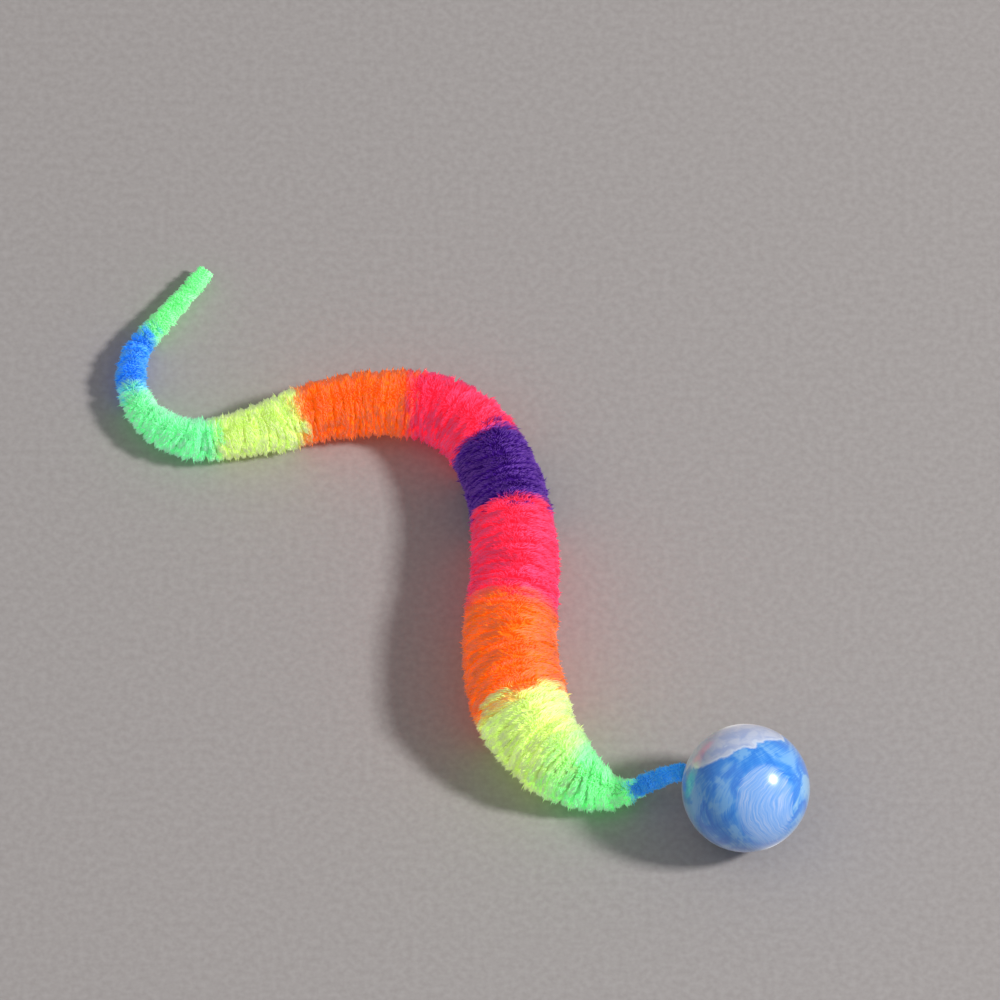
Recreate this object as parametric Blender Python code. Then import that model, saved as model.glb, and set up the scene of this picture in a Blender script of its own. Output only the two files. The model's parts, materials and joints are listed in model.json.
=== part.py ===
"""A solid rubber ball with a chenille-worm tail, lying on a flat surface.

Metres, +Z up, with the origin on that surface under the middle of the toy. The tail is pile held by two
twisted threads, which a stop knot and a plug of glue anchor in a blind hole in the ball. Each colour band
of the tail is one link. It hangs on an empty that stands on the core's line where the link bends against
the one before it, so turning an empty bends the rest of the tail.
"""

import math
from collections import namedtuple

import bmesh
import bpy
from mathutils import Matrix, Vector

# The ball and its blind hole
BALL_DIAMETER = 0.027
BALL_SIDES = 32
HOLE_DEPTH = 0.0135
EXIT_HEADING = math.radians(163)  # the way the hole faces, seen from above

# The core and what anchors it
THREAD_DIAMETER = 0.0007
TWIST_PITCH = 0.010
TWIST_STEPS = 8  # points on each turn of a thread
KNOT_GAP = 0.0001  # between the strands of the stop knot
KNOT_POINTS = 36
PLUG_RECESS = 0.0012  # from the hole's mouth to the plug

# The pile, as the outline that its tips reach
NECK_RADIUS = 0.0020  # where the tail leaves the ball
NECK_SLOPE = math.radians(-35)  # how steeply the limp core hangs down from the hole
NECK_DROP = 0.016  # length over which it comes down onto the surface, seen from above
PILE_SIDES = 16
PILE_STEPS = 7  # straight steps along a band
HALVINGS = 16  # of the range in which a pile's end is looked for

# How far a joint bends each way: thick pile is squeezed together sooner than thin
THICK_PILE = 0.0060
THICK_BEND = math.radians(30)
THIN_BEND = math.radians(45)

CLEARANCE = 0.0003  # between pieces that touch

# A band's length and turn are those of its core, which lies in an arc, anticlockwise from above
Band = namedtuple("Band", "name colour length turn end_radius")
BANDS = (
    Band("blue_neck", "blue", 0.0107, 27, 0.0027),
    Band("green_front", "green", 0.0150, -46, 0.0084),
    Band("yellow_front", "yellow", 0.0157, -36, 0.0108),
    Band("orange_front", "orange", 0.0242, -25, 0.0102),
    Band("red_front", "red", 0.0238, 14, 0.0092),
    Band("purple_middle", "purple", 0.0190, 21, 0.0084),
    Band("red_rear", "red", 0.0198, 56, 0.0076),
    Band("orange_rear", "orange", 0.0238, 26, 0.0067),
    Band("yellow_rear", "yellow", 0.0179, -12, 0.0051),
    Band("green_rear", "green", 0.0232, -83, 0.0038),
    Band("blue_rear", "blue", 0.0159, -54, 0.0029),
    Band("green_tip", "green", 0.0199, 4, 0.0021),
)

# Colour, roughness and metallic value of each material
FINISHES = {
    "ball_rubber": ((0.22, 0.50, 0.90), 0.25, 0.0),
    "glue": ((0.85, 0.80, 0.62), 0.30, 0.0),
    "thread": ((0.88, 0.88, 0.85), 0.80, 0.0),
    "blue": ((0.04, 0.28, 0.90), 0.90, 0.0),
    "green": ((0.20, 0.95, 0.30), 0.90, 0.0),
    "yellow": ((0.80, 0.98, 0.20), 0.90, 0.0),
    "orange": ((1.00, 0.25, 0.04), 0.90, 0.0),
    "red": ((0.98, 0.05, 0.13), 0.90, 0.0),
    "purple": ((0.09, 0.02, 0.30), 0.90, 0.0),
}

BALL_RADIUS = BALL_DIAMETER / 2
THREAD_OFFSET = (THREAD_DIAMETER + CLEARANCE) / 2  # from the core's line to a thread's middle
CORE_RADIUS = THREAD_OFFSET + THREAD_DIAMETER / 2
FLAT_SHARE = math.cos(math.pi / PILE_SIDES)  # a polygon's inner radius over its outer one
BORE_RADIUS = (CORE_RADIUS + CLEARANCE) / FLAT_SHARE
# The stop knot is a trefoil: its strands wind on loops of one radius round a ring of another
KNOT_LOOP = (THREAD_DIAMETER + KNOT_GAP) / 2
KNOT_RING = KNOT_LOOP + 2 * KNOT_LOOP / math.sqrt(3)
HOLE_RADIUS = KNOT_RING + KNOT_LOOP + THREAD_DIAMETER / 2 + CLEARANCE


def clear_scene():
    for obj in list(bpy.data.objects):
        bpy.data.objects.remove(obj, do_unlink=True)


def make_materials():
    for name, (colour, roughness, metallic) in FINISHES.items():
        material = bpy.data.materials.new(name)
        material.use_nodes = True
        shader = material.node_tree.nodes["Principled BSDF"]
        shader.inputs["Base Color"].default_value = (*colour, 1)
        shader.inputs["Roughness"].default_value = roughness
        shader.inputs["Metallic"].default_value = metallic


def add_object(name, data, material, parent=None):
    obj = bpy.data.objects.new(name, data)
    bpy.context.collection.objects.link(obj)
    obj.parent = parent
    if material:
        data.materials.append(bpy.data.materials[material])
    return obj


def add_mesh(name, bm, material, parent=None, smooth_below=math.radians(40)):
    """Closes off a bmesh as an object, round where its faces meet at less than the given angle."""
    bmesh.ops.recalc_face_normals(bm, faces=bm.faces)
    mesh = bpy.data.meshes.new(name)
    bm.to_mesh(mesh)
    bm.free()
    mesh.shade_smooth()
    mesh.set_sharp_from_angle(angle=smooth_below)
    return add_object(name, mesh, material, parent)


def add_turned(name, profile, material, parent=None):
    """A solid turned about Z from an outline of (radius, height) points."""
    bm = bmesh.new()
    verts = [bm.verts.new((radius, 0, height)) for radius, height in profile]
    edges = [bm.edges.new(pair) for pair in zip(verts, verts[1:])]
    if profile[0][0] > 0:
        edges.append(bm.edges.new((verts[-1], verts[0])))
    bmesh.ops.spin(
        bm,
        geom=verts + edges,
        cent=(0, 0, 0),
        axis=(0, 0, 1),
        angle=math.tau,
        steps=BALL_SIDES,
        use_merge=True,
    )
    bmesh.ops.remove_doubles(bm, verts=bm.verts, dist=1e-6)
    return add_mesh(name, bm, material, parent)


def add_thread(name, points, material, parent, cyclic=False):
    """A round thread through the points, with closed ends."""
    curve = bpy.data.curves.new(name, "CURVE")
    curve.dimensions = "3D"
    curve.bevel_depth = THREAD_DIAMETER / 2
    curve.bevel_resolution = 1
    curve.use_fill_caps = not cyclic
    spline = curve.splines.new("POLY")
    spline.points.add(len(points) - 1)
    for point, place in zip(spline.points, points):
        point.co = (*place, 1)
    spline.use_cyclic_u = cyclic
    return add_object(name, curve, material, parent)


def bend_limit(radius):
    """How far the tail bends each way at a joint where the pile has this radius."""
    return THICK_BEND if radius > THICK_PILE else THIN_BEND


def core_recess(bend):
    """How far the core's ends stand back from a joint, so that they clear each other at this bend."""
    return CORE_RADIUS * math.tan(bend / 2) + CLEARANCE


def mouth_bend():
    """The most that the core bends where it leaves the ball, as it hangs down and sways at once."""
    return math.acos(math.cos(NECK_SLOPE) * math.cos(bend_limit(NECK_RADIUS)))


def height_above_rest(distance):
    """How much higher than the rest of the tail the core lies at this distance from the ball, and its slope.

    The neck hangs down from the hole and comes to lie level with the rest.
    """
    if distance >= NECK_DROP:
        return 0.0, 0.0
    share = distance / NECK_DROP
    fall = BALL_RADIUS - NECK_RADIUS * FLAT_SHARE
    run = NECK_DROP * math.tan(NECK_SLOPE)
    height = fall * (2 * share**3 - 3 * share**2 + 1) + run * (share**3 - 2 * share**2 + share)
    rise = fall * (6 * share**2 - 6 * share) + run * (3 * share**2 - 4 * share + 1)
    return height, math.atan(rise / NECK_DROP)


class Link:
    """One colour band at rest, in a frame on its first joint with +X along the core.

    A joint that sways turns about an upright axis, and one that lifts about a level one across the core.
    """

    def __init__(self, band, distance, start_radius, sways):
        self.band = band
        self.distance = distance
        self.start_radius = start_radius
        self.sways = sways  # whether its first joint sways; its last is then one that lifts
        self.turn = math.radians(band.turn)
        self.growth = (band.end_radius - start_radius) / band.length
        self.is_neck = distance == 0
        self.is_tip = band is BANDS[-1]

    def radius(self, along):
        return self.start_radius + self.growth * along

    def height(self, along):
        return self.radius(along) * FLAT_SHARE + height_above_rest(self.distance + along)[0]

    def section(self, along):
        """(centre, side, up) of the core at this distance along the link."""
        heading = self.turn * along / self.band.length
        chord = along * (math.sin(heading / 2) / (heading / 2) if heading else 1)
        slope = height_above_rest(self.distance + along)[1]
        centre = Vector(
            (
                chord * math.cos(heading / 2),
                chord * math.sin(heading / 2),
                self.height(along) - self.height(0),
            )
        )
        side = Vector((-math.sin(heading), math.cos(heading), 0))
        ahead = Vector((math.cos(heading), math.sin(heading), 0))
        up = Vector((0, 0, 1)) * math.cos(slope) - ahead * math.sin(slope)
        return centre, side, up

    def point(self, along, radius, angle):
        centre, side, up = self.section(along)
        return centre + radius * (math.cos(angle) * side + math.sin(angle) * up)

    def setback(self, angle, bore, at_end):
        """How far the pile stands back from a joint at this angle round the core.

        The end is a wedge whose edge lies along the joint's axis, so that the bend only just closes it.
        The ball has no wedge of its own, so the neck's takes the whole bend there.
        """
        joint_at = self.band.length if at_end else 0
        way = -1 if at_end else 1
        centre, side, up = self.section(joint_at)
        bend = bend_limit(self.radius(joint_at)) / 2
        if self.is_neck and not at_end:
            up = Vector((0, 0, 1))
            bend *= 2
        ahead = way * side.cross(up)
        axis = up if self.sways != at_end else side
        near, far = 0, self.band.length / 2
        for _ in range(HALVINGS):
            back = (near + far) / 2
            along = joint_at + way * back
            offset = self.point(along, BORE_RADIUS if bore else self.radius(along), angle) - centre
            across = abs(offset.dot(axis.cross(ahead)))
            if offset.dot(ahead) * math.cos(bend) - across * math.sin(bend) < CLEARANCE:
                near = back
            else:
                far = back
        return far

    def line(self, angle, bore=False):
        """(distance along, radius) of points on the pile's outside or its bore, at this angle round it."""
        start = self.setback(angle, bore, at_end=False)
        end = self.band.length
        if not self.is_tip:
            end -= self.setback(angle, bore, at_end=True)
        points = []
        for step in range(PILE_STEPS + 1):
            along = start + (end - start) * step / PILE_STEPS
            points.append((along, BORE_RADIUS if bore else self.radius(along)))
        return points

    def thread_points(self, side_of_core):
        """The middle of one thread, twisted round the core's line."""
        start = core_recess(mouth_bend() if self.is_neck else bend_limit(self.start_radius))
        end = self.band.length
        if not self.is_tip:
            end -= core_recess(bend_limit(self.band.end_radius))
        count = math.ceil((end - start) / TWIST_PITCH * TWIST_STEPS)
        points = []
        for step in range(count + 1):
            along = start + (end - start) * step / count
            turned = math.tau * (self.distance + along) / TWIST_PITCH + side_of_core * math.pi
            points.append(self.point(along, THREAD_OFFSET, turned))
        return points


def add_pile(link, parent):
    """The pile of one band: a tube round the core, which lies on one of its flats."""
    bm = bmesh.new()
    lines = []
    for n in range(PILE_SIDES):
        angle = math.tau * (n + 0.5) / PILE_SIDES - math.pi / 2
        around = link.line(angle) + link.line(angle, bore=True)[::-1]
        lines.append([bm.verts.new(link.point(along, radius, angle)) for along, radius in around])
    for line, following in zip(lines, lines[1:] + lines[:1]):
        for n in range(len(line)):
            bm.faces.new((line[n - 1], line[n], following[n], following[n - 1]))
    add_mesh("pile_" + link.band.name, bm, link.band.colour, parent)


def add_ball():
    """The ball, which stands on its lowest point with its hole's axis along its own +Z."""
    outline = [(0, -BALL_RADIUS)]
    rim = math.asin(HOLE_RADIUS / BALL_RADIUS)
    rings = BALL_SIDES // 2
    for step in range(1, rings + 1):
        angle = math.pi - (math.pi - rim) * step / rings
        outline.append((BALL_RADIUS * math.sin(angle), BALL_RADIUS * math.cos(angle)))
    outline.append((HOLE_RADIUS, BALL_RADIUS - HOLE_DEPTH))
    outline.append((0, BALL_RADIUS - HOLE_DEPTH))
    ball = add_turned("ball", outline, "ball_rubber")
    exit_way = Vector((math.cos(EXIT_HEADING), math.sin(EXIT_HEADING), 0))
    ball.rotation_euler = exit_way.to_track_quat("Z", "Y").to_euler()
    ball.location = (0, 0, BALL_RADIUS)
    return ball, exit_way


def add_anchor(ball):
    """The stop knot at the bottom of the hole, the threads that come up from it and the plug round them."""
    half_knot = KNOT_LOOP + THREAD_DIAMETER / 2
    knot_middle = BALL_RADIUS - HOLE_DEPTH + CLEARANCE + half_knot
    knot = []
    for step in range(KNOT_POINTS):
        turn = math.tau * step / KNOT_POINTS
        reach = KNOT_RING + KNOT_LOOP * math.cos(3 * turn)
        height = knot_middle + KNOT_LOOP * math.sin(3 * turn)
        knot.append((reach * math.cos(2 * turn), reach * math.sin(2 * turn), height))
    add_thread("stop_knot", knot, "thread", ball, cyclic=True)

    bottom = knot_middle + half_knot + CLEARANCE
    top = BALL_RADIUS - core_recess(mouth_bend())
    count = math.ceil((top - bottom) / TWIST_PITCH * TWIST_STEPS)
    for name, turned in (("anchor_thread_a", 0), ("anchor_thread_b", math.pi)):
        points = []
        for step in range(count + 1):
            height = bottom + (top - bottom) * step / count
            angle = math.tau * (height - BALL_RADIUS) / TWIST_PITCH + turned
            points.append((THREAD_OFFSET * math.cos(angle), THREAD_OFFSET * math.sin(angle), height))
        add_thread(name, points, "thread", ball)

    inner = CORE_RADIUS + CLEARANCE
    outer = HOLE_RADIUS - CLEARANCE
    plug_top = BALL_RADIUS - PLUG_RECESS
    plug = [(outer, bottom), (outer, plug_top), (inner, plug_top), (inner, bottom)]
    add_turned("glue_plug", plug, "glue", ball)


def add_tail(ball, exit_way):
    """The chain of links, each on an empty at its first joint."""
    parent = ball
    place = ball.matrix_local.inverted() @ Matrix.Translation(
        ball.location + BALL_RADIUS * exit_way
    )
    place = place @ Matrix.Rotation(EXIT_HEADING, 4, "Z")
    distance = 0
    radius = NECK_RADIUS
    for number, band in enumerate(BANDS):
        link = Link(band, distance, radius, sways=number % 2 == 0)
        joint = add_object("joint_" + band.name, None, None, parent)
        joint.matrix_local = place
        add_pile(link, joint)
        add_thread("thread_a_" + band.name, link.thread_points(0), "thread", joint)
        add_thread("thread_b_" + band.name, link.thread_points(1), "thread", joint)
        place = Matrix.Translation(link.section(band.length)[0]) @ Matrix.Rotation(link.turn, 4, "Z")
        parent = joint
        distance += band.length
        radius = band.end_radius


def centre_over_origin(ball):
    """Moves the toy so that its bounding box is centred over the origin, on the surface."""
    bpy.context.view_layer.update()
    points = [
        obj.matrix_world @ vertex.co
        for obj in bpy.data.objects
        if obj.type == "MESH"
        for vertex in obj.data.vertices
    ]
    for axis in (0, 1):
        low = min(point[axis] for point in points)
        high = max(point[axis] for point in points)
        ball.location[axis] -= (low + high) / 2


def main():
    clear_scene()
    make_materials()
    ball, exit_way = add_ball()
    bpy.context.view_layer.update()
    add_anchor(ball)
    add_tail(ball, exit_way)
    centre_over_origin(ball)


main()
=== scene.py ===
"""The looks of a rubber ball with a chenille-worm tail, laid out as an add-on and built on the CAD frame."""
import json
import math

import bpy
import numpy as np
from mathutils import Matrix, Vector


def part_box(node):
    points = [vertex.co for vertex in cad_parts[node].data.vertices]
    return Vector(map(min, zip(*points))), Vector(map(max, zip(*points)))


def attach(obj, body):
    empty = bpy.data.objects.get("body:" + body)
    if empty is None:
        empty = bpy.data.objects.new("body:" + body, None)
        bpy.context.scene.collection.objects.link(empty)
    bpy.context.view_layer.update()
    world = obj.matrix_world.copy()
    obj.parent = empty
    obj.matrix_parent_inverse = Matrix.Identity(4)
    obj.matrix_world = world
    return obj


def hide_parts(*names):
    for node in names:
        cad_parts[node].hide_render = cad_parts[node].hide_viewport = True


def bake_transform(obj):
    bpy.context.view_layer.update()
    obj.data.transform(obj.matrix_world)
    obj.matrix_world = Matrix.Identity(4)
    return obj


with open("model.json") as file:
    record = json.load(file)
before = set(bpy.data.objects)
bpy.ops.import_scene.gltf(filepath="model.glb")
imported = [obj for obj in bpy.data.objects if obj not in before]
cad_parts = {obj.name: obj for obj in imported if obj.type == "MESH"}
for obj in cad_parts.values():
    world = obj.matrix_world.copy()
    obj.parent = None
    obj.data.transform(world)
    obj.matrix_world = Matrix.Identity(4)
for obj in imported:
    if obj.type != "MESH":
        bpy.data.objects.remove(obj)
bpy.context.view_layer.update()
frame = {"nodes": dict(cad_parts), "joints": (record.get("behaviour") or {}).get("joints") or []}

bl_info = {
    "name": "Chenille worm ball",
    "version": (1, 0, 0),
    "blender": (4, 5, 0),
    "location": "3D View > Sidebar > Worm Ball",
    "description": "Builds a marbled rubber ball and its rainbow chenille tail on the CAD frame",
    "category": "Object",
}

MM = 0.001

# Each band of the tail from the ball on: its dye and the pile's radius where it ends, in millimetres
BANDS = (
    ("blue_neck", "deep_blue", 2.7),
    ("green_front", "green", 8.4),
    ("yellow_front", "yellow", 10.8),
    ("orange_front", "orange", 10.2),
    ("red_front", "red", 9.2),
    ("purple_middle", "purple", 8.4),
    ("red_rear", "red", 7.6),
    ("orange_rear", "orange", 6.7),
    ("yellow_rear", "yellow", 5.1),
    ("green_rear", "mint", 3.8),
    ("blue_rear", "blue", 2.9),
    ("green_tip", "green", 2.1),
)
NECK_RADIUS = 2.0 * MM  # of the pile where it leaves the ball
NECK_SLOPE = math.radians(-35)  # how steeply the limp core hangs down from the ball
NECK_DROP = 16 * MM  # length over which it comes down onto the floor, seen from above
FLAT_SHARE = math.cos(math.pi / 16)  # the core's height over the pile's radius, where the tail lies flat
FLOOR_GAP = 0.1 * MM  # strands under the tail are pressed flat to this height
CUT_DEPTH = 0.3 * MM  # corners of the last solid no further than this from its far end belong to the cut

# How far two dyes run into each other where a band meets the one before it
RUNS = {
    "blue_neck": 0.4 * MM,
    "green_front": 1.0 * MM,
    "yellow_front": 8.5 * MM,
    "orange_front": 3.0 * MM,
    "red_front": 5.0 * MM,
    "purple_middle": 1.0 * MM,
    "red_rear": 1.0 * MM,
    "orange_rear": 3.5 * MM,
    "yellow_rear": 2.5 * MM,
    "green_rear": 3.0 * MM,
    "blue_rear": 3.0 * MM,
    "green_tip": 2.5 * MM,
}
VIEW_MIDDLE = (-51.5 * MM, 77.5 * MM, -13.5 * MM)  # the middle of the view, from the ball's middle
LIGHT_DISTANCE = 3.0  # from the middle of the view to each light
THICK = 6 * MM  # radius from which the pile gathers into full tufts
SHADES = 4  # lots of strands, from the darkest to the palest
SEED = 20

# How tightly the strands gather into ribs: everywhere, and how much more low down on the tail, on the side
# that it was stroked from and on the outside of a bend
GATHER, GATHER_LOW, GATHER_RUFFLED, GATHER_BENT = 0.20, 0.30, 0.35, 1.2
RUFFLED_SIDE = math.radians(20)  # angle round the tail of the side that it was stroked from
# The waves that the ribs run in: height in ribs, turns round the tail, turn in radians per metre, and phase
RIB_WAVES = ((0.45, 1, 170, 0.0), (0.30, 2, -410, 1.7))
ROOTED = 0.35  # where strands are rooted, as a share of the pile's radius
RAGGED = 2.4 * MM  # width of the zone in which the tufts change dye at the edge of a band
DYE_SCATTER = 0.45 * MM  # and how far single strands stray from that
LEAN_SCATTER = 0.15 * MM  # how far single strands lean along the tail
SWING_SCATTER = 0.10  # how far they swing round it, in radians
# How much shorter strands are, as shares of their free length: at most in a short rib, at most in a short
# tuft, by single strands' scatter, and at the edge of a tight rib and of a tight tuft
SHORT_RIB, SHORT_TUFT, SHORT_SCATTER = 0.30, 0.20, 0.12
SHORT_RIB_EDGE, SHORT_TUFT_EDGE = 0.50, 0.20
PROUD = 0.15  # how far the longest strands pass the outline, as a share of their free length
STRAY_LENGTHS = (0.15, 0.60)  # and how much further the strays stick out
UNDERCOAT_STEP = 0.35 * MM  # length of its faces along the tail
UNDERCOAT_SIDES = 120  # faces round it
REACH_ROOT, REACH_RING, REACH_TIP = 0.05, 0.70, 0.98  # places from a strand's root to its tip; its colour is darkened near the root as painted shade and paled near the tip as a painted highlight
REACH_UNDERCOAT = 0.60  # place along a strand whose colour the undercoat takes where it isn't grooved, a little into the painted shade of the roots
GROOVE_PAINTED_SHADE = 2.0  # how much that place falls for each radius that a groove is deep, which paints shade into the grooves
UNDERCOAT_LOT = 1 / 3  # its shade, from the darkest lot of strands at 0 to the palest at 1
SHADE_RANGE = (0.84, 1.10)  # brightness of the darkest and the palest lot
ROOT_SHADE = (0.62, 0.50, 0.52, 1)  # painted shade: the tint that darkens the dye deep between the roots

# The marbling on the ball. Places are shares of its radius, from its middle.
FAN_ACROSS = (1.0, 0.0, 0.0)  # across the fan of streaks
FAN_UPWARD = (0.0, 0.866, 0.5)  # and along them
FAN_MIDDLE = (0.29, -0.24)  # across and upward
FAN_TIGHTNESS = (2.2, 1.6)  # one over the fan's half width and half height
FAN_UPRIGHT = -0.30  # place upward at which the streaks stand upright
FAN_LEAN = -1.1  # how far they lean at one radius above or below that
STREAKS_ACROSS, STREAKS_ALONG = 34.0, 2.6  # how close together the streaks lie, and how often they break
CAP_WAY = (-0.33, 0.82, 0.47)  # the way that the white cap faces
CAP_EDGE = (0.84, 0.92)  # places towards that way between which the cap sets in
CAP_RIM = (0.96, 0.89)  # and between which its white rim does


class Tail:
    """The line of the tail's core, from the ball's surface to the cut end, and the pile's radius along it."""

    def __init__(self):
        joints = {joint["child"]: joint for joint in frame["joints"]}
        places = [np.array(joints[band[0]]["pos_m"]) for band in BANDS]
        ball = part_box("ball")
        self.ball_middle = np.array((ball[0] + ball[1]) / 2)
        way_out = places[0] - self.ball_middle
        heading = math.atan2(way_out[1], way_out[0])
        places.append(self.cut_end(places[-1]))
        self.starts = [0.0]
        self.headings = []
        self.turns = []
        self.places = places
        for place, following in zip(places, places[1:]):
            across = (following - place)[:2]
            chord = math.hypot(*across)
            turn = 2 * wrapped(math.atan2(across[1], across[0]) - heading)
            self.headings.append(heading)
            self.turns.append(turn)
            self.starts.append(self.starts[-1] + chord * (turn / 2) / math.sin(turn / 2))
            heading += turn
        self.starts = np.array(self.starts)
        self.length = self.starts[-1]
        self.radii = np.array([NECK_RADIUS] + [band[2] * MM for band in BANDS])

    def cut_end(self, place):
        """The middle of the tail's cut end, from the solid of its last band, which bends at the place."""
        verts = frame["nodes"]["pile_" + BANDS[-1][0]].data.vertices
        points = np.array([vert.co for vert in verts])
        away = np.linalg.norm(points[:, :2] - place[:2], axis=1)
        end = points[away > away.max() - CUT_DEPTH]
        return (end.min(0) + end.max(0)) / 2

    def radius(self, along):
        return np.interp(along, self.starts, self.radii)

    def frames(self, along):
        """(centre, ahead, side, up) of the core at each distance along it."""
        along = np.asarray(along, float)
        link = np.clip(np.searchsorted(self.starts, along, side="right") - 1, 0, len(BANDS) - 1)
        starts = self.starts[link]
        lengths = self.starts[link + 1] - starts
        turned = np.array(self.turns)[link] * (along - starts) / lengths
        heading = np.array(self.headings)[link]
        chord = (along - starts) * np.sinc(turned / 2 / np.pi)
        centre = np.array(self.places)[link]
        centre[:, 0] += chord * np.cos(heading + turned / 2)
        centre[:, 1] += chord * np.sin(heading + turned / 2)
        height, slope = self.height(along)
        centre[:, 2] = height
        heading = heading + turned
        level = np.stack([np.cos(heading), np.sin(heading), np.zeros_like(heading)], 1)
        side = np.stack([-np.sin(heading), np.cos(heading), np.zeros_like(heading)], 1)
        upright = np.array([0.0, 0.0, 1.0])
        ahead = level * np.cos(slope)[:, None] + upright * np.sin(slope)[:, None]
        up = upright * np.cos(slope)[:, None] - level * np.sin(slope)[:, None]
        return centre, ahead, side, up

    def bend(self, along):
        """How sharply the core turns away from its own left side, in radians per metre."""
        link = np.clip(np.searchsorted(self.starts, along, side="right") - 1, 0, len(BANDS) - 1)
        return -np.array(self.turns)[link] / np.diff(self.starts)[link]

    def height(self, along):
        """The core's height and slope: it hangs down from the ball until the pile lies on the floor."""
        fall = self.places[0][2] - NECK_RADIUS * FLAT_SHARE
        run = NECK_DROP * math.tan(NECK_SLOPE)
        share = np.clip(along / NECK_DROP, 0, 1)
        drop = fall * (2 * share**3 - 3 * share**2 + 1) + run * (share**3 - 2 * share**2 + share)
        rise = fall * (6 * share**2 - 6 * share) + run * (3 * share**2 - 4 * share + 1)
        return self.radius(along) * FLAT_SHARE + drop, np.arctan(rise / NECK_DROP)

    def points(self, along, angle, radius):
        """Points at a distance along the core, an angle round it and a radius from it."""
        centre, _, side, up = self.frames(along)
        out = side * np.cos(angle)[:, None] + up * np.sin(angle)[:, None]
        places = centre + out * radius[:, None]
        places[:, 2] = np.maximum(places[:, 2], FLOOR_GAP)
        return places


def wrapped(angle):
    """The same angle between minus half a turn and half a turn."""
    return (angle + math.pi) % math.tau - math.pi


def hashed(*numbers):
    """A repeatable scatter of numbers from 0 to 1 for whole numbers."""
    mixed = sum(number * factor for number, factor in zip(numbers, (12.9898, 78.233, 37.719)))
    return np.modf(np.abs(np.sin(mixed) * 43758.5453))[0]


# Tools shared by the operators


def deselect():
    if bpy.context.object and bpy.context.object.mode != "OBJECT":
        bpy.ops.object.mode_set(mode="OBJECT")
    bpy.ops.object.select_all(action="DESELECT")


def named(obj, name):
    obj.name = name
    obj.data.name = name
    return obj


def make_material(name, roughness):
    """A new material and its shader."""
    material = bpy.data.materials.new(name)
    material.use_nodes = True
    shader = material.node_tree.nodes["Principled BSDF"]
    shader.inputs["Roughness"].default_value = roughness
    return material, shader


def add_node(tree, kind, links=(), **values):
    """Adds a node. Links feed its inputs, and values set its own properties."""
    node = tree.nodes.new(kind)
    for key, value in values.items():
        setattr(node, key, value)
    for socket, source in links:
        if hasattr(source, "links"):
            tree.links.new(source, node.inputs[socket])
        else:
            node.inputs[socket].default_value = source
    return node


def maths(tree, operation, *values):
    node = add_node(tree, "ShaderNodeMath", enumerate(values), operation=operation)
    return node.outputs[0]


def mixed(tree, factor, first, second, blend="MIX"):
    """A blend of two colours."""
    node = add_node(tree, "ShaderNodeMix", data_type="RGBA", blend_type=blend)
    for socket, source in ((0, factor), (6, first), (7, second)):
        if hasattr(source, "links"):
            tree.links.new(source, node.inputs[socket])
        else:
            node.inputs[socket].default_value = source
    return node.outputs[2]


def ramped(tree, factor, stops):
    """A colour ramp from (place, colour) stops."""
    node = add_node(tree, "ShaderNodeValToRGB", [(0, factor)])
    elements = node.color_ramp.elements
    while len(elements) > 1:
        elements.remove(elements[-1])
    elements[0].position, elements[0].color = stops[0]
    for place, colour in stops[1:]:
        elements.new(place).color = colour
    return node.outputs[0]


def mapped(tree, value, low, high, to_low=0.0, to_high=1.0):
    """The value's smooth climb from low to high."""
    node = add_node(
        tree,
        "ShaderNodeMapRange",
        [(0, value), (1, low), (2, high), (3, to_low), (4, to_high)],
        interpolation_type="SMOOTHSTEP",
    )
    return node.outputs[0]


# Materials


def dye_stops(tail, dyes, end_of_name):
    """The dyes along the whole tail, as ramp stops, in the middle of the strands or at their tips, where the
    paler colours are a painted highlight.
    """
    stops = []
    for number, (name, dye, _) in enumerate(BANDS):
        colour = (*getattr(dyes, dye + end_of_name), 1)
        start = tail.starts[number] + RUNS[name] / 2
        end = tail.length
        if number + 1 < len(BANDS):
            end = tail.starts[number + 1] - RUNS[BANDS[number + 1][0]] / 2
        stops.append((start / tail.length, colour))
        stops.append((end / tail.length, colour))
    return stops


def pile_material(tail, settings, dyes):
    """Dyed strands, darkened deep between their roots as painted shade and paler at the cut tips as a painted
    highlight, in lots that differ a little, with a painted glow.
    """
    material, shader = make_material("dyed_pile", roughness=0.85)
    shader.inputs["Specular IOR Level"].default_value = 0.1
    tree = material.node_tree
    place = add_node(tree, "ShaderNodeAttribute", attribute_name="place")
    parts = add_node(tree, "ShaderNodeSeparateXYZ", [(0, place.outputs["Vector"])])
    along, reach, shade = parts.outputs
    dye = ramped(tree, along, dye_stops(tail, dyes, ""))
    # Painted highlight: the paler tip colours, blended in towards the cut tips below.
    pale = ramped(tree, along, dye_stops(tail, dyes, "_tip"))
    # Painted shade: the dye darkens towards the strands' roots.
    deep = mixed(tree, 1.0, dye, ROOT_SHADE, "MULTIPLY")
    colour = mixed(tree, mapped(tree, reach, 0.2, 0.65), deep, dye)
    colour = mixed(tree, mapped(tree, reach, 0.75, 1.0), colour, pale)
    light = mapped(tree, shade, 0.0, 1.0, *SHADE_RANGE)
    lot = add_node(tree, "ShaderNodeCombineXYZ", [(0, light), (1, light), (2, light)])
    colour = mixed(tree, 1.0, colour, lot.outputs[0], "MULTIPLY")
    tree.links.new(colour, shader.inputs["Base Color"])
    # Painted glow: the strands give off their own colour as light, though they are no lamp.
    tree.links.new(colour, shader.inputs["Emission Color"])
    shader.inputs["Emission Strength"].default_value = settings.painted_glow
    return material


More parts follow.
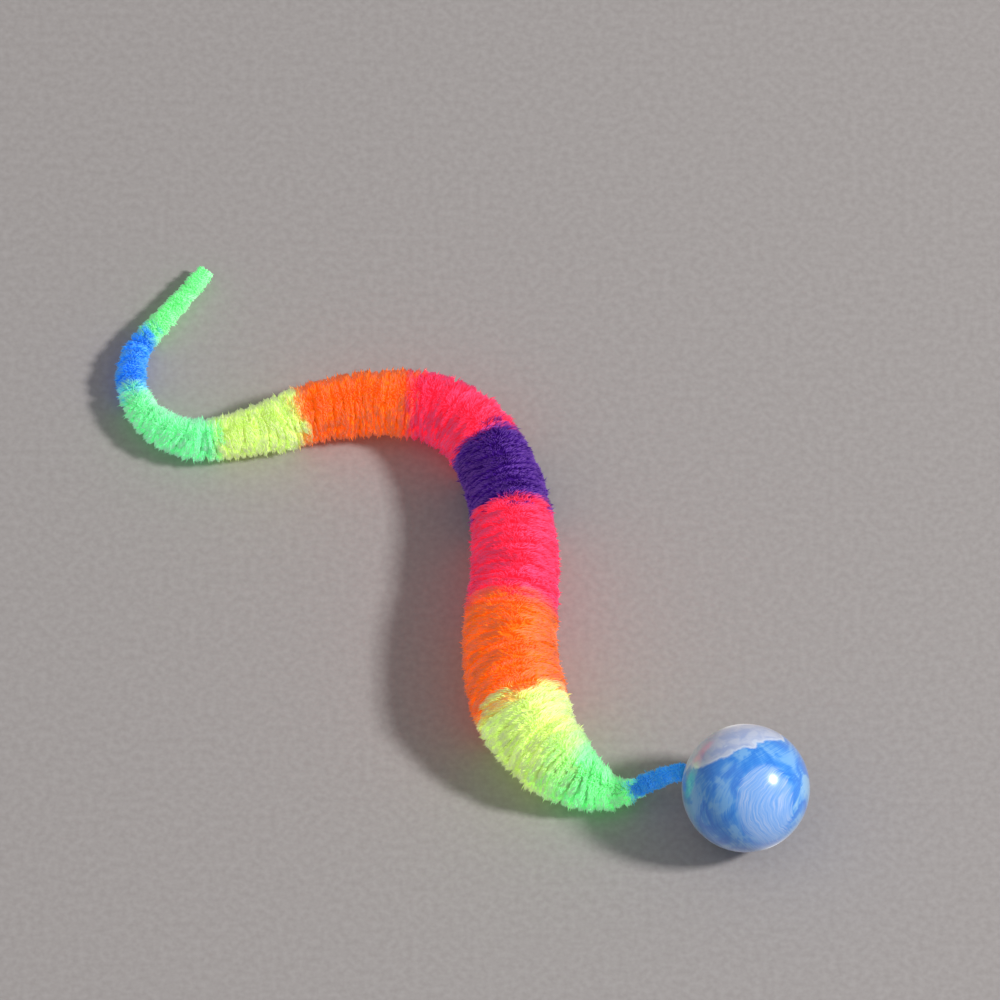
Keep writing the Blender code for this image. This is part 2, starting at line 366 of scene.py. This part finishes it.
def thread_material():
    """Spun polyester thread: off-white, with fine slanting plies."""
    material, shader = make_material("spun_thread", roughness=0.7)
    tree = material.node_tree
    here = add_node(tree, "ShaderNodeTexCoord").outputs["Object"]
    plies = add_node(tree, "ShaderNodeTexWave", [("Vector", here), ("Scale", 900.0), ("Distortion", 3.0)])
    fuzz = add_node(tree, "ShaderNodeTexNoise", [("Vector", here), ("Scale", 2500.0)])
    colour = ramped(tree, plies.outputs["Fac"], [(0.0, (0.55, 0.53, 0.48, 1)), (1.0, (0.86, 0.85, 0.80, 1))])
    tree.links.new(mixed(tree, 0.2, colour, fuzz.outputs["Color"], "OVERLAY"), shader.inputs["Base Color"])
    bump = add_node(
        tree, "ShaderNodeBump", [("Height", plies.outputs["Fac"]), ("Distance", 0.05 * MM), ("Strength", 0.6)]
    )
    tree.links.new(bump.outputs[0], shader.inputs["Normal"])
    return material


def glue_material():
    """Cured glue: amber, cloudy and a little uneven."""
    material, shader = make_material("cured_glue", roughness=0.3)
    tree = material.node_tree
    here = add_node(tree, "ShaderNodeTexCoord").outputs["Object"]
    cloud = add_node(tree, "ShaderNodeTexNoise", [("Vector", here), ("Scale", 900.0), ("Detail", 3.0)])
    colour = ramped(
        tree, cloud.outputs["Fac"], [(0.3, (0.62, 0.48, 0.22, 1)), (0.7, (0.88, 0.80, 0.58, 1))]
    )
    tree.links.new(colour, shader.inputs["Base Color"])
    bump = add_node(
        tree, "ShaderNodeBump", [("Height", cloud.outputs["Fac"]), ("Distance", 0.1 * MM), ("Strength", 0.5)]
    )
    tree.links.new(bump.outputs[0], shader.inputs["Normal"])
    return material


def facing(tree, place, way):
    """How far each point of the ball lies towards a way, from -1 to 1."""
    node = add_node(tree, "ShaderNodeVectorMath", [(0, place), (1, Vector(way).normalized())])
    node.operation = "DOT_PRODUCT"
    return node.outputs["Value"]


def drawn_out(tree, across, upward, folds):
    """Fine streaks from 0 to 1, drawn out into arcs whose tops lean over."""
    height = maths(tree, "ADD", upward, -FAN_UPRIGHT)
    leant = maths(tree, "MULTIPLY_ADD", maths(tree, "MULTIPLY", height, height), FAN_LEAN, across)
    leant = maths(tree, "MULTIPLY_ADD", folds, 0.22, leant)
    drawn = add_node(
        tree,
        "ShaderNodeCombineXYZ",
        [
            (0, maths(tree, "MULTIPLY", leant, STREAKS_ACROSS)),
            (1, maths(tree, "MULTIPLY", upward, STREAKS_ALONG)),
        ],
    )
    noise = add_node(
        tree, "ShaderNodeTexNoise", [("Vector", drawn.outputs[0]), ("Scale", 1.0), ("Detail", 2.0)]
    )
    return noise.outputs["Fac"]


def rubber_material(tail, radius, settings):
    """Marbled rubber: deep and pale blue with a white cap, and a fan of fine white streaks."""
    material, shader = make_material("marbled_rubber", roughness=0.22)
    shader.inputs["Coat Weight"].default_value = 0.6
    shader.inputs["Coat Roughness"].default_value = 0.06
    shader.inputs["Sheen Weight"].default_value = 0.5
    shader.inputs["Sheen Roughness"].default_value = 0.4
    tree = material.node_tree
    here = add_node(tree, "ShaderNodeTexCoord").outputs["Object"]
    share = 1 / radius
    place = add_node(
        tree,
        "ShaderNodeMapping",
        [("Vector", here), ("Location", -Vector(tail.ball_middle) * share), ("Scale", (share,) * 3)],
    ).outputs[0]
    folds = add_node(
        tree, "ShaderNodeTexNoise", [("Vector", place), ("Scale", 1.6), ("Detail", 3.0), ("Distortion", 1.0)]
    ).outputs["Fac"]
    wisps = add_node(
        tree, "ShaderNodeTexNoise", [("Vector", place), ("Scale", 4.5), ("Detail", 5.0), ("Distortion", 0.8)]
    ).outputs["Fac"]
    across = facing(tree, place, FAN_ACROSS)
    upward = facing(tree, place, FAN_UPWARD)
    fine = drawn_out(tree, across, upward, folds)
    colour = ramped(
        tree,
        maths(tree, "MULTIPLY_ADD", fine, 0.25, folds),
        [
            (0.48, (0.180, 0.450, 0.860, 1)),
            (0.57, (*settings.blue, 1)),
            (0.66, (*settings.deep_blue, 1)),
            (0.72, (0.060, 0.320, 0.840, 1)),
            (0.80, (*settings.pale_blue, 1)),
        ],
    )
    # the fan, where the two colours were drawn out side by side
    streak = ramped(
        tree,
        fine,
        [
            (0.30, (0.140, 0.370, 0.860, 1)),
            (0.50, (0.230, 0.450, 0.890, 1)),
            (0.70, (0.400, 0.560, 0.900, 1)),
        ],
    )
    squares = []
    for place_on_fan, middle, tightness in zip((across, upward), FAN_MIDDLE, FAN_TIGHTNESS):
        share_out = maths(tree, "MULTIPLY", maths(tree, "SUBTRACT", place_on_fan, middle), tightness)
        squares.append(maths(tree, "POWER", share_out, 2.0))
    out = maths(tree, "ADD", *squares)
    out = maths(tree, "MULTIPLY_ADD", fine, -0.7, out)
    colour = mixed(tree, mapped(tree, out, 0.75, 0.35), colour, streak)
    # the white cap, with a torn and whiter edge
    cap = maths(tree, "MULTIPLY_ADD", folds, 0.45, facing(tree, place, CAP_WAY))
    cap = maths(tree, "MULTIPLY_ADD", wisps, 0.16, cap)
    white = ramped(tree, wisps, [(0.38, (0.38, 0.47, 0.74, 1)), (0.6, (0.56, 0.62, 0.80, 1))])
    white = mixed(tree, mapped(tree, cap, *CAP_RIM), white, (*settings.white, 1))
    colour = mixed(tree, mapped(tree, cap, *CAP_EDGE), colour, white)
    tree.links.new(colour, shader.inputs["Base Color"])
    bump = add_node(
        tree, "ShaderNodeBump", [("Height", wisps), ("Distance", 0.05 * MM), ("Strength", 0.15)]
    )
    tree.links.new(bump.outputs[0], shader.inputs["Normal"])
    return material


def floor_material():
    material, shader = make_material("pale_floor", roughness=0.9)
    tree = material.node_tree
    here = add_node(tree, "ShaderNodeTexCoord").outputs["Object"]
    grain = add_node(tree, "ShaderNodeTexNoise", [("Vector", here), ("Scale", 700.0), ("Detail", 2.0)])
    colour = ramped(tree, grain.outputs["Fac"], [(0.3, (0.34, 0.31, 0.30, 1)), (0.7, (0.39, 0.36, 0.35, 1))])
    tree.links.new(colour, shader.inputs["Base Color"])
    return material


# Settings


def colour_setting(name, description, value):
    return bpy.props.FloatVectorProperty(
        name=name, description=description, default=value, min=0, max=1, size=3, subtype="COLOR"
    )


class DyeSettings(bpy.types.PropertyGroup):
    # Each tip colour is paler than its dye: a painted highlight on the strands' cut tips.
    deep_blue: colour_setting("Deep blue", "Strands of the neck", (0.040, 0.320, 0.800))
    deep_blue_tip: colour_setting("Deep blue tips", "Cut tips of the neck's strands", (0.160, 0.480, 0.850))
    blue: colour_setting("Blue", "Strands of the blue band", (0.030, 0.285, 0.940))
    blue_tip: colour_setting("Blue tips", "Cut tips of the blue strands", (0.190, 0.530, 0.960))
    green: colour_setting("Green", "Strands of the first and last green bands", (0.245, 1.000, 0.350))
    green_tip: colour_setting("Green tips", "Cut tips of the green strands", (0.540, 1.000, 0.620))
    mint: colour_setting("Mint", "Strands of the green band before the blue", (0.250, 0.960, 0.440))
    mint_tip: colour_setting("Mint tips", "Cut tips of the mint strands", (0.530, 0.990, 0.700))
    yellow: colour_setting("Yellow", "Strands of the yellow bands", (0.735, 0.950, 0.265))
    yellow_tip: colour_setting("Yellow tips", "Cut tips of the yellow strands", (0.850, 0.960, 0.560))
    orange: colour_setting("Orange", "Strands of the orange bands", (1.000, 0.195, 0.012))
    orange_tip: colour_setting("Orange tips", "Cut tips of the orange strands", (1.000, 0.230, 0.150))
    red: colour_setting("Red", "Strands of the red bands", (0.980, 0.036, 0.096))
    red_tip: colour_setting("Red tips", "Cut tips of the red strands", (0.980, 0.115, 0.290))
    purple: colour_setting("Purple", "Strands of the purple band", (0.044, 0.006, 0.190))
    purple_tip: colour_setting("Purple tips", "Cut tips of the purple strands", (0.210, 0.085, 0.440))


class BallSettings(bpy.types.PropertyGroup):
    deep_blue: colour_setting("Deep blue", "The darkest of the marbling", (0.022, 0.210, 0.760))
    blue: colour_setting("Blue", "The marbling between the darkest and the palest", (0.050, 0.290, 0.830))
    pale_blue: colour_setting("Pale blue", "The palest of the marbling", (0.260, 0.530, 0.850))
    white: colour_setting("White", "The torn rim of the white cap", (0.700, 0.780, 0.920))
    segments: bpy.props.IntProperty(
        name="Segments", description="Faces round the ball", default=128, min=16, max=256
    )
    hole_radius: bpy.props.FloatProperty(
        name="Hole radius",
        description="Radius of the hole that the tail goes into",
        default=1.9 * MM,
        unit="LENGTH",
    )
    hole_depth: bpy.props.FloatProperty(
        name="Hole depth",
        description="Depth of the hole that the tail goes into",
        default=13.5 * MM,
        unit="LENGTH",
    )


class PileSettings(bpy.types.PropertyGroup):
    density: bpy.props.FloatProperty(
        name="Density", description="Strands on each square millimetre of the outline", default=13.0, min=0.5
    )
    free_pile: bpy.props.FloatProperty(
        name="Free pile",
        description="How far the strands stand free of the dense inner pile, where the tail is thick",
        default=1.4 * MM,
        unit="LENGTH",
    )
    strand_width: bpy.props.FloatProperty(
        name="Strand width",
        description="Width of a strand where it is thickest",
        default=0.26 * MM,
        unit="LENGTH",
    )
    rib_pitch: bpy.props.FloatProperty(
        name="Rib pitch",
        description="Distance between the ribs that the strands gather in",
        default=1.3 * MM,
        unit="LENGTH",
    )
    tuft_width: bpy.props.FloatProperty(
        name="Tuft width",
        description="Width of a tuft, measured round the tail",
        default=5.0 * MM,
        unit="LENGTH",
    )
    strays: bpy.props.FloatProperty(
        name="Strays",
        description="Share of the strands that stick out past the rest",
        default=0.03,
        min=0,
        max=1,
        subtype="FACTOR",
    )
    sweep: bpy.props.FloatProperty(
        name="Sweep",
        description="Angle that the strands' tips are swept round the tail, away from its top",
        default=math.radians(16),
        subtype="ANGLE",
    )
    # A painted glow: the strands give off their own colour as light, though they are no lamp.
    painted_glow: bpy.props.FloatProperty(
        name="Glow",
        description="Light that the fluorescent dye gives off",
        default=0.34,
        min=0,
        subtype="FACTOR",
    )


class StageSettings(bpy.types.PropertyGroup):
    elevation: bpy.props.FloatProperty(
        name="Camera elevation",
        description="Angle of the camera above the floor",
        default=math.radians(60),
        subtype="ANGLE",
    )
    view_width: bpy.props.FloatProperty(
        name="View width", description="Width that the camera takes in", default=211 * MM, unit="LENGTH"
    )
    lens: bpy.props.FloatProperty(
        name="Lens", description="Focal length of the camera", default=1200, unit="CAMERA"
    )
    key_power: bpy.props.FloatProperty(
        name="Key light", description="Power of the light on the right", default=83.0, unit="POWER"
    )


# Pile


class Strand:
    """One strand: a slim three-sided spindle, thickest above its middle."""

    ROOT, RING, TIP = 0, 1, 2

    def __init__(self):
        deselect()
        bpy.ops.mesh.primitive_cone_add(vertices=3, radius1=1, depth=1, end_fill_type="TRIFAN")
        obj = bpy.context.object
        mesh = obj.data
        self.faces = np.array([list(face.vertices) for face in mesh.polygons])
        points = np.array([vert.co for vert in mesh.vertices])
        on_axis = np.hypot(points[:, 0], points[:, 1]) < 0.5
        self.part = np.where(on_axis, np.where(points[:, 2] > 0, self.TIP, self.ROOT), self.RING)
        self.across = points[:, :2]
        bpy.data.objects.remove(obj)
        bpy.data.meshes.remove(mesh)


def ribs_and_tufts(tail, along, angle, settings):
    """For each strand: its place in its rib and in its tuft, each from -1 to 1, how tightly the strands
    gather there, and a number from 0 to 1 for its tuft and for its rib."""
    radius = tail.radius(along)
    wander = sum(
        height * np.sin(turns * angle + rate * along + shift) for height, turns, rate, shift in RIB_WAVES
    )
    phase = along / settings.rib_pitch + wander
    rib = np.floor(phase)
    in_rib = 2 * (phase - rib) - 1
    around = angle * radius / settings.tuft_width + 7 * hashed(rib)
    tuft = np.floor(around)
    in_tuft = 2 * (around - tuft) - 1
    # the pile opens into clefts on the outside of a bend and on the side that the tail was stroked from
    opened = np.clip(tail.bend(along) * radius * np.cos(angle), 0, 0.5)
    ruffled = np.clip(np.cos(angle - RUFFLED_SIDE), 0, 1)
    low = np.clip(1 - np.sin(angle), 0, 1)
    gather = GATHER + GATHER_LOW * low + GATHER_RUFFLED * ruffled + GATHER_BENT * opened
    gather = gather * np.clip(radius / THICK, 0.4, 1)
    gather = np.clip(gather * (0.35 + 0.9 * hashed(rib, tuft)), 0, 0.95)
    return in_rib, in_tuft, gather, hashed(tuft, rib), hashed(rib, rib)


def swept(angle, lot, settings):
    """How far a strand's tip is swept round the tail: away from its top, where the pile parts."""
    from_top = np.sin(2 * (angle - math.pi / 2) + 1.6 * (lot - 0.5))
    return settings.sweep * from_top * np.where(np.sin(angle) > 0, 1.0, 0.3)


def free_length(radius, settings):
    """How far the strands stand free of the dense inner pile."""
    return np.minimum(settings.free_pile, 0.36 * radius)


def strand_arrays(tail, strand, start, end, settings, rng):
    """Corner points, faces, attribute and map of all strands rooted from start to end."""
    steps = np.linspace(start, end, 200)
    girth = math.tau * tail.radius(steps)
    count = int(np.trapz(girth, steps) * settings.density / MM**2)
    spread = np.concatenate([[0], np.cumsum((girth[1:] + girth[:-1]) / 2)])
    along = np.interp(rng.random(count) * spread[-1], spread, steps)
    angle = rng.random(count) * math.tau
    in_rib, in_tuft, gather, tuft_shade, rib_shade = ribs_and_tufts(tail, along, angle, settings)
    radius = tail.radius(along)
    rib_pull = -in_rib * settings.rib_pitch / 2 * gather
    tuft_pull = -in_tuft * settings.tuft_width / 2 / radius * gather * 0.7
    lean = rng.normal(0, LEAN_SCATTER, count) + (hashed(tuft_shade * 91) - 0.5) * settings.rib_pitch * 0.7
    swing = swept(angle, tuft_shade, settings) + rng.normal(0, SWING_SCATTER, count)
    free = free_length(radius, settings)
    short = SHORT_RIB * rib_shade + SHORT_TUFT * hashed(tuft_shade * 57)
    short += np.abs(rng.normal(0, SHORT_SCATTER, count))
    short += gather * (SHORT_RIB_EDGE * in_rib**2 + SHORT_TUFT_EDGE * in_tuft**2)
    stray = np.where(rng.random(count) < settings.strays, rng.uniform(*STRAY_LENGTHS, count), 0)
    tip_radius = radius + free * (PROUD - short + stray)
    tip_along = np.clip(along + rib_pull + lean, 0, tail.length)
    mid_along = np.clip(along + 0.45 * rib_pull + 0.5 * lean, 0, tail.length)
    root = tail.points(along, angle, ROOTED * radius)
    mid = tail.points(mid_along, angle + 0.5 * tuft_pull + 0.5 * swing, tip_radius - 0.55 * free)
    tip = tail.points(tip_along, angle + tuft_pull + swing, tip_radius)

    _, ahead, side, up = tail.frames(mid_along)
    round_way = up * np.cos(angle)[:, None] - side * np.sin(angle)[:, None]
    spin = rng.random(count) * math.tau
    width = settings.strand_width / 2 * rng.uniform(0.75, 1.25, count)
    verts = np.empty((count, len(strand.part), 3))
    place = np.empty((count, len(strand.part), 3))
    ragged = (hashed(tuft_shade * 23) - 0.5) * RAGGED
    dyed = np.clip(along + ragged + rng.normal(0, DYE_SCATTER, count), start, end)
    shade = np.clip(np.floor((0.65 * tuft_shade + 0.35 * rng.random(count)) * SHADES), 0, SHADES - 1)
    place[:, :, 2] = (shade / (SHADES - 1))[:, None]
    for corner, part in enumerate(strand.part):
        shift = 0.0
        if part == Strand.RING:
            x, y = strand.across[corner]
            a = np.cos(spin) * x - np.sin(spin) * y
            b = np.sin(spin) * x + np.cos(spin) * y
            verts[:, corner] = mid + ahead * (a * width)[:, None] + round_way * (b * width)[:, None]
            shift = y * settings.strand_width / 2
            place[:, corner, 1] = REACH_RING
        elif part == Strand.ROOT:
            verts[:, corner] = root
            place[:, corner, 1] = REACH_ROOT
        else:
            verts[:, corner] = tip
            place[:, corner, 1] = REACH_TIP
        place[:, corner, 0] = np.clip(dyed + shift, start, end) / tail.length
    faces = strand.faces[None] + (np.arange(count) * len(strand.part))[:, None, None]
    verts[:, :, 2] = np.maximum(verts[:, :, 2], FLOOR_GAP)
    return verts.reshape(-1, 3), faces.reshape(-1, 3), place.reshape(-1, 3)


def add_undercoat(tail, start, end, settings):
    """The dense inner pile, which shows between the tufts: a closed tube with the ribs' grooves in it."""
    deselect()
    steps = round((end - start) / UNDERCOAT_STEP)
    bpy.ops.mesh.primitive_grid_add(x_subdivisions=steps, y_subdivisions=UNDERCOAT_SIDES, size=2)
    obj = bpy.context.object
    flat = np.array([vert.co for vert in obj.data.vertices])
    along = start + (end - start) * (flat[:, 0] + 1) / 2
    angle = math.pi * (flat[:, 1] + 1)
    in_rib, _, gather, _, rib_shade = ribs_and_tufts(tail, along, np.mod(angle, math.tau), settings)
    radius = tail.radius(along)
    groove = 0.20 * radius * gather * np.abs(in_rib) ** 5
    reached = radius - free_length(radius, settings) * (1 + 0.3 * rib_shade) - groove
    places = tail.points(along, angle, reached)
    for vert, point in zip(obj.data.vertices, places):
        vert.co = point
    deselect()
    obj.select_set(True)
    bpy.context.view_layer.objects.active = obj
    bpy.ops.object.mode_set(mode="EDIT")
    bpy.ops.mesh.select_all(action="SELECT")
    bpy.ops.mesh.remove_doubles(threshold=1e-6)
    bpy.ops.mesh.select_mode(type="EDGE")
    bpy.ops.mesh.select_all(action="DESELECT")
    bpy.ops.mesh.select_non_manifold()
    bpy.ops.mesh.fill_holes(sides=0)
    bpy.ops.mesh.select_all(action="SELECT")
    bpy.ops.mesh.quads_convert_to_tris()
    bpy.ops.mesh.normals_make_consistent(inside=False)
    bpy.ops.object.mode_set(mode="OBJECT")
    return obj


class TOY_OT_pile(bpy.types.Operator):
    """Make the chenille pile, in lengths that each run across one joint"""

    bl_idname = "toy.pile"
    bl_label = "Make the pile"

    def execute(self, context):
        tail = Tail()
        settings = context.scene.toy_pile
        material = pile_material(tail, settings, context.scene.toy_dyes)
        strand = Strand()
        middles = (tail.starts[:-1] + tail.starts[1:]) / 2
        cuts = np.concatenate([[0], middles[:-1], [tail.length]])
        for number, (start, end) in enumerate(zip(cuts, cuts[1:])):
            self.make_length(tail, strand, number, start, end, material, settings)
        return {"FINISHED"}

    def make_length(self, tail, strand, number, start, end, material, settings):
        name, dye, _ = BANDS[number]
        body_before = BANDS[number - 1][0] if number else "ball"
        rng = np.random.default_rng(SEED + number)
        verts, faces, place = strand_arrays(tail, strand, start, end, settings, rng)
        under = add_undercoat(tail, start, end, settings)
        under_verts = np.array([vert.co for vert in under.data.vertices])
        under_faces = np.array([list(face.vertices) for face in under.data.polygons])
        bpy.data.objects.remove(under)
        under_place = self.undercoat_place(tail, under_verts, start, end, settings)
        mesh = bpy.data.meshes.new("fur_" + name)
        all_faces = np.concatenate([under_faces, faces + len(under_verts)])
        mesh.from_pydata(np.concatenate([under_verts, verts]), [], all_faces.tolist())
        attribute = mesh.attributes.new("place", "FLOAT_VECTOR", "POINT")
        places = np.concatenate([under_place, place])
        attribute.data.foreach_set("vector", places.astype(np.float32).ravel())
        self.add_map(mesh, places, all_faces, start / tail.length, end / tail.length)
        mesh.materials.append(material)
        mesh.shade_smooth()
        obj = bpy.data.objects.new("fur_" + name, mesh)
        bpy.context.collection.objects.link(obj)
        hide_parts("pile_" + name, *(["pile_" + body_before] if number else []))
        before = tail.starts[number]
        reach_back = 0.6 * (before - start)
        half = (tail.starts[number + 1] - before) / 2
        spots = tail.frames([before - reach_back, before + 0.6 * half])[0]
        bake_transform(obj)

    def undercoat_place(self, tail, verts, start, end, settings):
        """Attribute of the undercoat, darkened with painted shade where it lies low between the tufts."""
        steps = np.linspace(start, end, 400)
        line = tail.frames(steps)[0]
        away = ((verts[:, None] - line[None]) ** 2).sum(2)
        along = steps[away.argmin(1)]
        radius = tail.radius(along)
        sunk = radius - free_length(radius, settings) - np.sqrt(away.min(1))
        place = np.zeros((len(verts), 3))
        place[:, 0] = along / tail.length
        # Painted shade: the lower the undercoat lies in a groove, the nearer its colour comes to the darkened
        # roots.
        groove_shade = GROOVE_PAINTED_SHADE * sunk / radius
        place[:, 1] = np.clip(REACH_UNDERCOAT - groove_shade, REACH_ROOT, REACH_UNDERCOAT)
        place[:, 2] = UNDERCOAT_LOT
        return place

    def add_map(self, mesh, places, faces, start, end):
        """A map on which a strand's dye is across, and its lot and the way to its tip are up."""
        layer = mesh.uv_layers.new(name="OFBake")
        across = (places[:, 0] - start) / (end - start)
        lot = np.round(places[:, 2] * (SHADES - 1))
        upward = (lot + 0.02 + 0.96 * places[:, 1]) / SHADES
        corners = faces.ravel()
        pairs = np.stack([across[corners], upward[corners]], 1)
        layer.data.foreach_set("uv", pairs.astype(np.float32).ravel())


class TOY_OT_ball(bpy.types.Operator):
    """Make the marbled rubber ball, with the hole that the tail goes into"""

    bl_idname = "toy.ball"
    bl_label = "Make the ball"

    def execute(self, context):
        tail = Tail()
        settings = context.scene.toy_ball
        lowest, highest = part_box("ball")
        radius = (highest.z - lowest.z) / 2
        middle = Vector(tail.ball_middle)
        deselect()
        bpy.ops.mesh.primitive_uv_sphere_add(
            segments=settings.segments, ring_count=settings.segments // 2, radius=radius
        )
        obj = bpy.context.object
        mesh = obj.data
        rim = math.sqrt(radius**2 - settings.hole_radius**2)
        bpy.ops.object.mode_set(mode="EDIT")
        bpy.ops.mesh.select_all(action="SELECT")
        bpy.ops.mesh.bisect(plane_co=(0, 0, rim), plane_no=(0, 0, 1), clear_outer=True, use_fill=True)
        bpy.ops.mesh.inset(thickness=0.15 * MM, depth=-0.08 * MM)
        bpy.ops.mesh.extrude_region_move(TRANSFORM_OT_translate={"value": (0, 0, -settings.hole_depth)})
        bpy.ops.mesh.select_all(action="SELECT")
        bpy.ops.mesh.normals_make_consistent(inside=False)
        bpy.ops.object.mode_set(mode="OBJECT")
        way_out = Vector(tail.places[0]) - middle
        mesh.transform(Matrix.Translation(middle) @ way_out.to_track_quat("Z", "Y").to_matrix().to_4x4())
        bpy.ops.object.shade_smooth_by_angle(angle=math.radians(40))
        named(obj, "marbled_ball")
        mesh.materials.append(rubber_material(tail, radius, settings))
        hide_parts("ball")
        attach(obj, "ball")
        return {"FINISHED"}


class TOY_OT_core(bpy.types.Operator):
    """Give the threads, the stop knot and the glue their finishes"""

    bl_idname = "toy.core"
    bl_label = "Finish the core"

    def execute(self, context):
        thread = thread_material()
        glue = glue_material()
        for name, node in frame["nodes"].items():
            if "thread" in name or name == "stop_knot":
                node.material_slots[0].material = thread
            elif name == "glue_plug":
                node.material_slots[0].material = glue
        return {"FINISHED"}


class TOY_OT_stage(bpy.types.Operator):
    """Make the floor, the lights and the camera"""

    bl_idname = "toy.stage"
    bl_label = "Set the stage"

    def execute(self, context):
        settings = context.scene.toy_stage
        deselect()
        bpy.ops.mesh.primitive_plane_add(size=6)
        floor = named(bpy.context.object, "floor")
        floor.data.materials.append(floor_material())
        lowest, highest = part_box("ball")
        look_at = (lowest + highest) / 2 + Vector(VIEW_MIDDLE)
        self.add_light("key_light", look_at, azimuth=82, elevation=40, size=0.40, power=settings.key_power)
        self.add_light("fill_light", look_at, azimuth=-60, elevation=60, size=3.0, power=11)
        world = bpy.data.worlds.new("studio")
        world.use_nodes = True
        world.node_tree.nodes["Background"].inputs["Color"].default_value = (0.95, 0.97, 1.0, 1)
        world.node_tree.nodes["Background"].inputs["Strength"].default_value = 0.32
        context.scene.world = world
        context.scene.view_settings.view_transform = "Standard"

        camera = bpy.data.objects.new("camera", bpy.data.cameras.new("camera"))
        context.collection.objects.link(camera)
        camera.data.lens = settings.lens
        distance = settings.view_width * settings.lens / camera.data.sensor_width
        back = Vector((0, -math.cos(settings.elevation), math.sin(settings.elevation)))
        camera.location = look_at + back * distance
        camera.rotation_euler = back.to_track_quat("Z", "Y").to_euler()
        camera.data.clip_start = distance / 20
        camera.data.clip_end = distance * 20
        context.scene.camera = camera
        return {"FINISHED"}

    def add_light(self, name, target, azimuth, elevation, size, power):
        """A square soft light. Azimuth 0 is the camera's side and 90 the right."""
        turned, raised = math.radians(azimuth), math.radians(elevation)
        way = Vector(
            (math.sin(turned) * math.cos(raised), -math.cos(turned) * math.cos(raised), math.sin(raised))
        )
        light = bpy.data.objects.new(name, bpy.data.lights.new(name, "AREA"))
        bpy.context.collection.objects.link(light)
        light.data.size = size
        light.data.energy = power
        light.location = target + way * LIGHT_DISTANCE
        light.rotation_euler = way.to_track_quat("Z", "Y").to_euler()


class TOY_PT_panel(bpy.types.Panel):
    """The toy's pieces, in the order they are made"""

    bl_label = "Worm Ball"
    bl_idname = "TOY_PT_panel"
    bl_space_type = "VIEW_3D"
    bl_region_type = "UI"
    bl_category = "Worm Ball"

    def draw(self, context):
        for operator in OPERATORS:
            self.layout.operator(operator.bl_idname)
        for name in SETTINGS:
            group = getattr(context.scene, name)
            for key in group.bl_rna.properties.keys()[1:]:
                self.layout.prop(group, key)


OPERATORS = (TOY_OT_stage, TOY_OT_ball, TOY_OT_core, TOY_OT_pile)
SETTINGS = {
    "toy_ball": BallSettings,
    "toy_dyes": DyeSettings,
    "toy_pile": PileSettings,
    "toy_stage": StageSettings,
}


def register():
    for kind in (*SETTINGS.values(), *OPERATORS, TOY_PT_panel):
        bpy.utils.register_class(kind)
    for name, kind in SETTINGS.items():
        setattr(bpy.types.Scene, name, bpy.props.PointerProperty(type=kind))


def unregister():
    for name in SETTINGS:
        delattr(bpy.types.Scene, name)
    for kind in (TOY_PT_panel, *OPERATORS, *SETTINGS.values()):
        bpy.utils.unregister_class(kind)


def main():
    register()
    bpy.ops.toy.stage()
    bpy.ops.toy.ball()
    bpy.ops.toy.core()
    bpy.ops.toy.pile()


if __name__ == "__main__":
    main()
